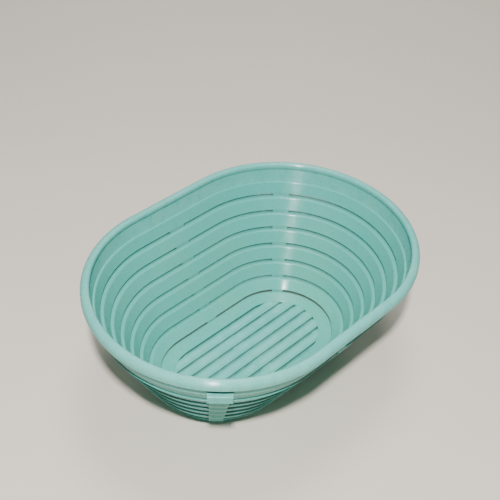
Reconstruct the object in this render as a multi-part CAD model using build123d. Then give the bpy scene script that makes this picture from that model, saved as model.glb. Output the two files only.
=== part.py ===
from build123d import *
import math
import os

os.makedirs("parts", exist_ok=True)

# Oval banneton (proofing basket), injection moulded, millimetres.
# Origin: centre of the footprint, on the surface that the basket stands on.
# +X runs along the long axis, +Z points up, out of the mouth.
# Every wall line is a stadium: two half circles joined by straight sides. The half
# circles' centres are the same at every height, and only the radius changes.

# ---- driving dimensions ----
LENGTH = 250.0                 # over the rim
WIDTH = 182.4                  # over the rim
HEIGHT = 96.6                  # foot to crest of the rim
RIM_R = WIDTH / 2              # radius of the rim's half circles
STRAIGHT = LENGTH / 2 - RIM_R  # half the straight side, and the half circles' centre

SLOT_COUNT = 6                 # evenly stepped slots; one more lies at the floor
TOP_SLOT_R = 79.2              # radius and height of the highest slot's middle
TOP_SLOT_Z = 72.0
STEP_IN = 6.3                  # each slot is this much further in than the one above
STEP_DOWN = 11.4
FLOOR_SLOT_R = 39.3            # the slot between the wall and the base ring
FLOOR_SLOT_Z = 6.7

SLOT_HALF = 1.25               # half the height of a slot
FLOOR_SLOT_HALF = 0.9
WALL_IN = 0.2                  # a band's lower edge, inside the slot line
WALL_OUT = 2.3                 # a band's lower edge, outside the slot line
LEDGE_OUT = 3.1                # a band's upper edge, outside the slot line
LEDGE_RISE = 0.45              # that edge stands higher than the lip inside
EDGE_DROP = 0.8                # a band's lower edge hangs lower outside
LEDGE_IN = 2.4                 # how far a band's lip reaches inside the slot line
TOP_LEDGE_IN = 3.2             # the same two for the ledge under the collar
TOP_LEDGE_OUT = 1.4
LIP_R = 1.3                    # rounding of each lip
EDGE_R = 0.35                  # rounding of the thin edges beside a slot

COLLAR_TOP_Z = 91.0
COLLAR_IN_R = 86.0             # inner face of the plain collar at its top
COLLAR_FOOT_IN = 1.9           # the collar's foot, inside the line of the slots
COLLAR_OUT_R = 87.5
RIM_IN_R = 85.1                # the rim bulges inwards past the collar
SKIRT_Z = 90.4                 # lower edge of the rim's turned-down skirt
SKIRT_T = 1.7

FLOOR_Z = 2.0                  # bottom of the floor's grooves
FLOOR_UNDER_Z = 0.5            # underside of the floor
FIELD_R = 29.6                 # radius of the slatted part of the floor
BORDER_Z = 4.4                 # inner edge of the plain border, level with the slats
BORDER_ROUND = 0.5
FOOT_R = 40.5
FOOT_IN_R = 38.3

SLATS = 6
SLAT_PITCH = 9.5
GROOVE = 2.2                   # width of the groove between two slats
SLAT_RISE = 2.4
SLAT_DISH = 0.3                # how far a slat's top sags at its middle
SLAT_ROUND = 0.5
TIP_ROUND = 0.25                # the slats' tips meet the border
DRAIN_W = 0.9                  # drain slots cut through the grooves
DRAIN_BRIDGE = 5.0             # half the uncut bridge at mid length
DRAIN_MARGIN = 6.0             # uncut end of each groove

RIB_ANGLE = 46.0               # end ribs, measured from the long axis
RIB_PROUD = 1.1                # how far a rib stands out from the wall
RIB_GROOVE = 0.4               # the slot line stays as a groove this far in
RIB_PLUG = 0.9                 # the lowest slot is closed only this far out
RIB_FLANGE = 0.5               # the web that ties a rib to that lowest plug
RIB_W_AT_AXIS = 4.1            # a rib's width is this plus a share of its radius
RIB_W_SHARE = 0.111

LUG_W = 15.8
LUG_TOP_Z = 85.4
LUG_H = 6.0
LUG_R = 91.0                   # outer face of a lug, just inside the rim's skirt
LUG_ROUND = 0.6


# ---- shared shapes ----
def stadium_prism(radius, z_low, z_high):
    """Solid stadium plate between two heights."""
    sketch = SlotCenterToCenter(2 * STRAIGHT, 2 * radius)
    return extrude(Pos(0, 0, z_low) * sketch, amount=z_high - z_low)


def section(points, rounds=()):
    """Closed (radius, height) outline; rounds holds (corner index, radius) pairs."""
    face = make_face(Polyline(*points, close=True))
    for index, radius in rounds:
        corner = Vector(*points[index])
        vertex = face.vertices().sort_by(lambda v: (Vector(v) - corner).length)[0]
        face = fillet(vertex, radius)
    return face


def hoop(face):
    """Carry a (radius, height) section once round the stadium."""
    side_plane = Plane(origin=(-STRAIGHT, 0, 0), x_dir=(0, 1, 0), z_dir=(1, 0, 0))
    end_plane = Plane(origin=(STRAIGHT, 0, 0), x_dir=(0, -1, 0), z_dir=(-1, 0, 0))
    side = extrude(side_plane * face, amount=2 * STRAIGHT, dir=(1, 0, 0))
    end = revolve(end_plane * face, axis=Axis((STRAIGHT, 0, 0), (0, 0, 1)),
                  revolution_arc=180)
    return side + mirror(side, about=Plane.XZ) + end + mirror(end, about=Plane.YZ)


def slot_line(index):
    """Radius and height of a slot's middle, counted down from the highest as 0."""
    if index == SLOT_COUNT:
        return FLOOR_SLOT_R, FLOOR_SLOT_Z
    return TOP_SLOT_R - STEP_IN * index, TOP_SLOT_Z - STEP_DOWN * index


def slot_half(index):
    """Half the height of a slot, by the same count."""
    return FLOOR_SLOT_HALF if index == SLOT_COUNT else SLOT_HALF


def four_ends(piece):
    """The same piece on each quarter of the oval; -Y is the front."""
    front = mirror(piece, about=Plane.XZ)
    return {
        "right_back": piece,
        "right_front": front,
        "left_back": mirror(piece, about=Plane.YZ),
        "left_front": mirror(front, about=Plane.YZ),
    }


def save(part, name):
    """Write one sub-part."""
    part.label = name
    export_step(part, f"parts/{name}.step")


# ---- rim: a rounded crown with a turned-down skirt ----
def make_rim():
    points = [
        (COLLAR_IN_R, COLLAR_TOP_Z),
        (RIM_IN_R, HEIGHT - 3.2),
        (RIM_IN_R, HEIGHT),
        (RIM_R, HEIGHT),
        (RIM_R, SKIRT_Z),
        (RIM_R - SKIRT_T, SKIRT_Z),
        (RIM_R - SKIRT_T, HEIGHT - 2.4),
        (COLLAR_OUT_R, HEIGHT - 2.4),
        (COLLAR_OUT_R, COLLAR_TOP_Z),
    ]
    rounds = [(2, 2.1), (3, 3.9), (4, 0.5), (6, 0.6), (7, 0.6)]
    return hoop(section(points, rounds))


# ---- collar: the plain band under the rim ----
def make_collar():
    step_r, step_z = slot_line(-1)
    foot_z = step_z - SLOT_HALF
    points = [
        (COLLAR_IN_R, COLLAR_TOP_Z),
        (step_r - COLLAR_FOOT_IN, foot_z),
        (step_r + TOP_LEDGE_OUT, foot_z),
        (COLLAR_OUT_R, COLLAR_TOP_Z),
    ]
    return hoop(section(points))


# ---- wall bands: each one hangs from the slot above it to the slot below it ----
def make_band(index):
    top_r, top_z = slot_line(index - 1)
    low_r, low_z = slot_line(index)
    ledge_z = top_z - SLOT_HALF
    edge_z = low_z + slot_half(index)
    under_collar = index == 0
    at_floor = index == SLOT_COUNT
    lip = TOP_LEDGE_IN if under_collar else LEDGE_IN
    if under_collar:
        outer_edge = (top_r + TOP_LEDGE_OUT, ledge_z)
    else:
        outer_edge = (top_r + LEDGE_OUT, ledge_z + LEDGE_RISE)
    points = [
        outer_edge,
        (top_r - lip, ledge_z),
        (low_r - WALL_IN, edge_z),
        (low_r + WALL_OUT, edge_z if at_floor else edge_z - EDGE_DROP),
    ]
    rounds = [(1, LIP_R), (2, EDGE_R), (3, EDGE_R)]
    if not under_collar:
        rounds.append((0, EDGE_R))
    return hoop(section(points, rounds))


# ---- base ring: sloping floor border, and the foot that the basket stands on ----
def make_base_ring():
    ledge_z = FLOOR_SLOT_Z - FLOOR_SLOT_HALF
    points = [
        (FIELD_R, FLOOR_UNDER_Z),
        (FIELD_R, BORDER_Z),
        (FLOOR_SLOT_R - 1.0, ledge_z),
        (FOOT_R, ledge_z),
        (FOOT_R, 0),
        (FOOT_IN_R, 0),
        (FOOT_IN_R, ledge_z - 1.7),
        (FIELD_R + 2.0, BORDER_Z - 1.8),
        (FIELD_R + 2.0, FLOOR_UNDER_Z),
    ]
    rounds = [(1, BORDER_ROUND), (3, 1.2), (4, 0.4), (5, 0.4)]
    return hoop(section(points, rounds))


# ---- floor: a plate with drain slots along its grooves, and slats on it ----
def groove_lines():
    """Y of each groove, from one side to the other."""
    first = -SLATS / 2 * SLAT_PITCH
    return [first + SLAT_PITCH * n for n in range(SLATS + 1)]


def make_floor_plate():
    plate = stadium_prism(FIELD_R, FLOOR_UNDER_Z, FLOOR_Z)
    for y in groove_lines():
        end_x = STRAIGHT + math.sqrt(FIELD_R ** 2 - y ** 2) - DRAIN_MARGIN
        length = end_x - DRAIN_BRIDGE
        middle = (end_x + DRAIN_BRIDGE) / 2
        for side in (-1, 1):
            drain = SlotOverall(length, DRAIN_W)
            cutter = extrude(Pos(side * middle, y, 0) * drain, amount=2 * FLOOR_Z)
            plate -= cutter
    return plate


def make_slats():
    """Long, slightly dished slats whose tips follow the border."""
    top = FLOOR_Z + SLAT_RISE
    field = stadium_prism(FIELD_R, FLOOR_Z, top)
    field = fillet(field.edges().group_by(Axis.Z)[-1], TIP_ROUND)
    half = (SLAT_PITCH - GROOVE) / 2
    plane = Plane(origin=(-LENGTH / 2, 0, 0), x_dir=(0, 1, 0), z_dir=(1, 0, 0))
    slats = []
    for low, high in zip(groove_lines(), groove_lines()[1:]):
        y = (low + high) / 2
        sides = Polyline((y + half, top), (y + half, FLOOR_Z), (y - half, FLOOR_Z), (y - half, top))
        dish = ThreePointArc((y - half, top), (y, top - SLAT_DISH), (y + half, top))
        outline = make_face(sides + dish)
        outline = fillet(outline.vertices().group_by(Axis.Y)[-1], SLAT_ROUND)
        bar = extrude(plane * outline, amount=LENGTH, dir=(1, 0, 0))
        slats.append(bar & field)
    return slats


# ---- ribs: upright strips outside the wall that close and bridge the slots ----
def rib_wedge(center_x, angle):
    """Upright wedge that points outwards, wider towards the rim."""
    near = RIB_W_AT_AXIS / 2
    far = (RIB_W_AT_AXIS + RIB_W_SHARE * LENGTH / 2) / 2
    plan = Polyline((0, -near), (LENGTH / 2, -far), (LENGTH / 2, far), (0, near), close=True)
    return Pos(center_x, 0, 0) * Rot(0, 0, angle) * extrude(make_face(plan), amount=HEIGHT)


def make_rib_skin():
    """Sloping shell that holds the ribs: from just inside the slots to their outer face."""
    top_r, top_z = slot_line(-1)
    inner = RIB_GROOVE - WALL_IN
    outer = WALL_OUT + RIB_PROUD
    inside = [(top_r + inner, top_z - SLOT_HALF)]
    outside = [(top_r + TOP_LEDGE_OUT + RIB_PROUD, top_z - SLOT_HALF)]
    for index in range(SLOT_COUNT):
        slot_r, slot_z = slot_line(index)
        for edge_z in (slot_z + SLOT_HALF, slot_z - SLOT_HALF):
            inside.append((slot_r + inner, edge_z))
            outside.append((slot_r + outer, edge_z))
    foot_z = FLOOR_SLOT_Z + FLOOR_SLOT_HALF
    plug_z = FLOOR_SLOT_Z - FLOOR_SLOT_HALF
    inside += [(FLOOR_SLOT_R + inner, foot_z), (FLOOR_SLOT_R + inner, plug_z)]
    outside += [
        (FLOOR_SLOT_R + outer, foot_z),
        (FLOOR_SLOT_R + outer, foot_z - RIB_FLANGE),
        (FLOOR_SLOT_R + RIB_PLUG, foot_z - RIB_FLANGE),
        (FLOOR_SLOT_R + RIB_PLUG, plug_z),
    ]
    return hoop(section(inside + outside[::-1]))


def make_rib(skin, neighbours, center_x, angle):
    rib = skin & rib_wedge(center_x, angle)
    for neighbour in neighbours:
        rib -= neighbour
    return rib


# ---- stacking lugs: blocks under the rim that keep nested baskets apart ----
def make_lug(neighbours, center_x, angle):
    depth = LUG_R - RIM_R + 12
    block = Box(depth, LUG_W, LUG_H)
    outer_edges = block.faces().sort_by(Axis.X)[-1].edges()
    block = fillet(outer_edges, LUG_ROUND)
    place = Pos(center_x, 0, LUG_TOP_Z - LUG_H / 2) * Rot(0, 0, angle)
    lug = place * Pos(LUG_R - depth / 2, 0, 0) * block
    for neighbour in neighbours:
        lug -= neighbour
    # what is left inside the wall is dropped
    return lug.solids().sort_by(lambda s: s.center().length)[-1]


rim = make_rim()
collar = make_collar()
bands = [make_band(index) for index in range(SLOT_COUNT + 1)]
base_ring = make_base_ring()
skin = make_rib_skin()

save(rim, "rim")
save(collar, "collar")
for number, band in enumerate(bands, start=1):
    save(band, f"wall_band_{number}")
save(base_ring, "base_ring")
save(make_floor_plate(), "floor_plate")
for number, slat in enumerate(make_slats(), start=1):
    save(slat, f"floor_slat_{number}")

walls = [collar, base_ring] + bands
side_rib = make_rib(skin, walls, 0, 90)
end_rib = make_rib(skin, walls, STRAIGHT, RIB_ANGLE)
save(side_rib, "rib_side_back")
save(mirror(side_rib, about=Plane.XZ), "rib_side_front")
for name, piece in four_ends(end_rib).items():
    save(piece, f"rib_{name}")

# the lugs stand on one diagonal pair of the end ribs
lug = make_lug([collar, bands[0], end_rib], STRAIGHT, RIB_ANGLE)
lugs = four_ends(lug)
for name in ("right_back", "left_front"):
    save(lugs[name], f"stacking_lug_{name}")
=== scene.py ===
import bpy
import math
from mathutils import Matrix, Vector

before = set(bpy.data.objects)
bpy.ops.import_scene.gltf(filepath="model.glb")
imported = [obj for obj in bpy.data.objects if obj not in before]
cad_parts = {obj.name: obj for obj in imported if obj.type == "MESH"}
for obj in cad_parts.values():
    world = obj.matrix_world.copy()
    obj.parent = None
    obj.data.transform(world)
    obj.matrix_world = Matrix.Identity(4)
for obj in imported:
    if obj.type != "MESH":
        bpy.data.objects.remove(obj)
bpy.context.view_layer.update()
scene = bpy.context.scene

# ---- view: the camera stands left of the front, looking down into the mouth ----
VIEW_AZIMUTH = math.radians(-48.44)
VIEW_ELEVATION = math.radians(40.48)
VIEW_ROLL = math.radians(4.45)
VIEW_DISTANCE = 0.7093
VIEW_TARGET = Vector((0.0498, 0.0504, 0.0416))
LENS = 65.98
SENSOR_WIDTH = 36.0
CLIP_START = 0.01

# ---- lights: name, place, diameter, power, colour ----
LIGHTS = (
    # the key stands above the camera and throws the shadow back and to the right
    ("key", (-0.457, -0.384, 0.909), 0.06, 20.0, (0.97, 0.98, 1.0)),
    # a broad panel overhead, a little behind the basket
    ("overhead", (0.25, 0.20, 1.50), 0.6, 11.0, (0.92, 0.98, 1.0)),
    # a weak, wide one lifts the sides that face away from the camera
    ("back_fill", (0.95, 0.80, 0.45), 1.0, 3.5, (1.0, 0.98, 0.96)),
)
LIGHT_AIM = (0, 0, 0.03)
SKY_COLOUR = (0.95, 0.97, 1.0, 1)
SKY_STRENGTH = 0.16

# ---- stage ----
FLOOR_HALF = 3.0
FLOOR_DARK = (0.64, 0.56, 0.47)
FLOOR_LIGHT = (0.68, 0.60, 0.51)
FLOOR_PATCH = 6.0                      # noise scale of the shade's slow drift
FLOOR_ROUGHNESS = 0.7

# ---- plastic: one mint moulding compound, all members alike; colours are linear ----
MINT = (0.070, 0.385, 0.330)           # main colour
MINT_WARM = (0.092, 0.405, 0.322)      # slow drift of the pigment
PALE_WEAR_AND_SHEEN = (0.240, 0.600, 0.540)      # rubbed and scuffed plastic, also the painted sheen on the rim
PAINTED_SHADE_COLOUR = (0.016, 0.080, 0.066)          # painted shade, darkest deep in the slots and grooves where faces crowd close
SHADE_REACH = 0.0035                       # how near two faces are for the painted shade to gather
SHADE_SAMPLES = 12                   # rays that look for a near face
ANISOTROPY = 1.0                       # draws the gloss out into a streak up the wall
IOR = 1.49
SPECULAR = 0.45
SUBSURFACE = 0.10
SUBSURFACE_RADIUS = (0.5, 1.0, 0.9)
SUBSURFACE_DEPTH = 0.0012

# noise scales, in features per metre
CLOUD = 22.0                           # pigment
RIPPLE = 95.0                          # waviness of the moulded skin
SMEAR = 130.0                          # wiping and handling
SPECK = 900.0                          # flecks
GRAIN = 2600.0                         # the tool's fine grain
HAIRLINE = (60.0, 2400.0, 900.0)       # stretched one way, so it draws scratches
HAIRLINE_TURN = (0.3, 0.2, 0.6)

# heights of the relief, in metres
RIPPLE_HEIGHT = 0.0002
SCRATCH_DEPTH = 0.00002

# where the Mix node keeps its colour sockets
MIX_FIRST, MIX_SECOND, MIX_RESULT = 6, 7, 2


# ---- node helpers ----
class Nodes:
    """Short calls for building one material's node tree."""

    def __init__(self, name):
        self.material = bpy.data.materials.new(name)
        self.material.use_nodes = True
        self.tree = self.material.node_tree
        self.shader = self.tree.nodes["Principled BSDF"]

    def add(self, kind, inputs=None, **settings):
        node = self.tree.nodes.new(kind)
        for key, value in settings.items():
            setattr(node, key, value)
        for key, value in (inputs or {}).items():
            self.put(node.inputs[key], value)
        return node

    def put(self, socket, value):
        """Link a socket's source, or set its constant."""
        if isinstance(value, bpy.types.NodeSocket):
            self.tree.links.new(value, socket)
        else:
            socket.default_value = value

    def shade(self, **values):
        """Set or link the shader's own sockets, named with _ for a space."""
        for key, value in values.items():
            self.put(self.shader.inputs[key.replace("_", " ")], value)

    def noise(self, where, scale, detail=3.0, rough=0.55):
        inputs = {"Vector": where, "Scale": scale, "Detail": detail, "Roughness": rough}
        return self.add("ShaderNodeTexNoise", inputs).outputs["Fac"]

    def ramp(self, value, low, high, to_low=0.0, to_high=1.0):
        inputs = {"Value": value, "From Min": low, "From Max": high,
                  "To Min": to_low, "To Max": to_high}
        return self.add("ShaderNodeMapRange", inputs).outputs["Result"]

    def math(self, operation, first, second):
        node = self.add("ShaderNodeMath", {0: first, 1: second}, operation=operation)
        return node.outputs[0]

    def mix(self, amount, first, second):
        node = self.add("ShaderNodeMix", data_type="RGBA")
        self.put(node.inputs["Factor"], amount)
        for index, value in ((MIX_FIRST, first), (MIX_SECOND, second)):
            colour = (*value, 1) if isinstance(value, tuple) else value
            self.put(node.inputs[index], colour)
        return node.outputs[MIX_RESULT]

    def bump(self, height, distance, strength, under=None):
        """Relief of the given height in metres, on top of another bump if there is one."""
        inputs = {"Strength": strength, "Distance": distance, "Height": height}
        if under:
            inputs["Normal"] = under.outputs[0]
        return self.add("ShaderNodeBump", inputs)


def mint_plastic(name, gloss, texture, wear, painted_sheen=0.0):
    """Injection moulded plastic.

    gloss is the mean roughness, texture the depth of the tool's fine grain in
    metres, wear the share of the colour that rubbing takes off the edges, and
    painted_sheen how far the whole surface is lightened as a painted highlight.
    """
    n = Nodes(name)
    place = n.add("ShaderNodeTexCoord").outputs["Object"]
    geometry = n.add("ShaderNodeNewGeometry")

    cloud = n.noise(place, CLOUD)
    speck = n.noise(place, SPECK, 2.0)
    smear = n.noise(place, SMEAR, 4.0, 0.6)
    grain = n.noise(place, GRAIN, 2.0)
    ripple = n.noise(place, RIPPLE, 2.0)

    stretch = n.add("ShaderNodeMapping", {"Vector": place, "Rotation": HAIRLINE_TURN,
                                          "Scale": HAIRLINE})
    hair = n.noise(stretch.outputs[0], 1.0, 2.0)
    scratch = n.ramp(hair, 0.70, 0.78)

    # convex edges are rubbed pale, unevenly
    edge = n.ramp(geometry.outputs["Pointiness"], 0.52, 0.62)
    rubbed = n.math("MULTIPLY", edge, n.ramp(smear, 0.35, 0.65, 0.25, 1.0))
    rubbed = n.math("MULTIPLY", rubbed, wear)

    # painted shade in the slots and grooves, from occlusion, a little uneven
    occlusion = n.add("ShaderNodeAmbientOcclusion", {"Distance": SHADE_REACH},
                    samples=SHADE_SAMPLES)
    shade_mask = n.ramp(occlusion.outputs["AO"], 0.62, 0.22)
    painted_shade = n.math("MULTIPLY", shade_mask, n.ramp(smear, 0.3, 0.7, 0.8, 1.0))

    colour = n.mix(n.ramp(cloud, 0.3, 0.7), MINT, MINT_WARM)
    colour = n.mix(n.ramp(speck, 0.62, 0.75, 0.0, 0.22), colour, PALE_WEAR_AND_SHEEN)
    # painted highlight: the whole surface lightened, unevenly
    colour = n.mix(n.ramp(smear, 0.3, 0.7, 0.7 * painted_sheen, 1.3 * painted_sheen), colour, PALE_WEAR_AND_SHEEN)
    # painted shade darkens the hollows
    colour = n.mix(painted_shade, colour, PAINTED_SHADE_COLOUR)
    colour = n.mix(rubbed, colour, PALE_WEAR_AND_SHEEN)
    colour = n.mix(n.math("MULTIPLY", scratch, 0.25), colour, PALE_WEAR_AND_SHEEN)

    rough = n.ramp(smear, 0.25, 0.75, gloss - 0.06, gloss + 0.08)
    rough = n.math("ADD", rough, n.math("MULTIPLY", scratch, 0.15))

    upright = n.add("ShaderNodeCombineXYZ", {"Z": 1.0})

    fine = n.bump(grain, texture, 1.0)
    wavy = n.bump(ripple, RIPPLE_HEIGHT, 0.6, fine)
    cuts = n.bump(scratch, SCRATCH_DEPTH, 0.4, wavy)
    cuts.invert = True

    n.shade(Base_Color=colour, Roughness=rough, IOR=IOR, Specular_IOR_Level=SPECULAR,
            Anisotropic=ANISOTROPY, Tangent=upright.outputs[0],
            Subsurface_Weight=SUBSURFACE, Subsurface_Radius=SUBSURFACE_RADIUS,
            Subsurface_Scale=SUBSURFACE_DEPTH, Normal=cuts.outputs[0])
    return n.material


def dress(names, material):
    """Give CAD nodes one material, in place of what they came with."""
    for name in names:
        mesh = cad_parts[name].data
        mesh.materials.clear()
        mesh.materials.append(material)
        for face in mesh.polygons:
            face.material_index = 0


def make_floor():
    n = Nodes("studio_floor")
    place = n.add("ShaderNodeTexCoord").outputs["Object"]
    drift = n.noise(place, FLOOR_PATCH)
    n.shade(Base_Color=n.mix(drift, FLOOR_DARK, FLOOR_LIGHT), Roughness=FLOOR_ROUGHNESS)
    mesh = bpy.data.meshes.new("floor")
    corners = [(x * FLOOR_HALF, y * FLOOR_HALF, 0)
               for x, y in ((-1, -1), (1, -1), (1, 1), (-1, 1))]
    mesh.from_pydata(corners, [], [(0, 1, 2, 3)])
    mesh.materials.append(n.material)
    floor = bpy.data.objects.new("floor", mesh)
    scene.collection.objects.link(floor)


def area_light(name, place, size, power, colour):
    data = bpy.data.lights.new(name, "AREA")
    data.shape = "DISK"
    data.energy = power
    data.size = size
    data.color = colour
    light = bpy.data.objects.new(name, data)
    scene.collection.objects.link(light)
    light.location = place
    direction = Vector(LIGHT_AIM) - Vector(place)
    light.rotation_euler = direction.to_track_quat("-Z", "Y").to_euler()


def make_sky():
    world = bpy.data.worlds.new("studio")
    world.use_nodes = True
    background = world.node_tree.nodes["Background"]
    background.inputs["Color"].default_value = SKY_COLOUR
    background.inputs["Strength"].default_value = SKY_STRENGTH
    scene.world = world


def make_camera():
    back = Vector((math.sin(VIEW_AZIMUTH) * math.cos(VIEW_ELEVATION),
                   -math.cos(VIEW_AZIMUTH) * math.cos(VIEW_ELEVATION),
                   math.sin(VIEW_ELEVATION)))
    right = Vector((math.cos(VIEW_AZIMUTH), math.sin(VIEW_AZIMUTH), 0))
    up = back.cross(right)
    roll = Matrix.Rotation(VIEW_ROLL, 3, back)
    data = bpy.data.cameras.new("camera")
    data.lens = LENS
    data.sensor_width = SENSOR_WIDTH
    data.clip_start = CLIP_START
    camera = bpy.data.objects.new("camera", data)
    scene.collection.objects.link(camera)
    turn = Matrix((roll @ right, roll @ up, back)).transposed().to_4x4()
    camera.matrix_world = Matrix.Translation(VIEW_TARGET + back * VIEW_DISTANCE) @ turn
    scene.camera = camera


names = sorted(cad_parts)
floor_names = [name for name in names if name.startswith("floor_")]
rim_names = ["rim"]
wall_names = [name for name in names if name not in floor_names + rim_names]

dress(wall_names, mint_plastic("mint_wall", gloss=0.28, texture=0.000010, wear=0.50))
dress(floor_names, mint_plastic("mint_floor", gloss=0.36, texture=0.000016, wear=0.50))
# the rim carries a painted sheen that lightens it all over
dress(rim_names, mint_plastic("mint_rim", gloss=0.27, texture=0.000006, wear=0.40, painted_sheen=0.30))

make_floor()
for light in LIGHTS:
    area_light(*light)
make_sky()
make_camera()
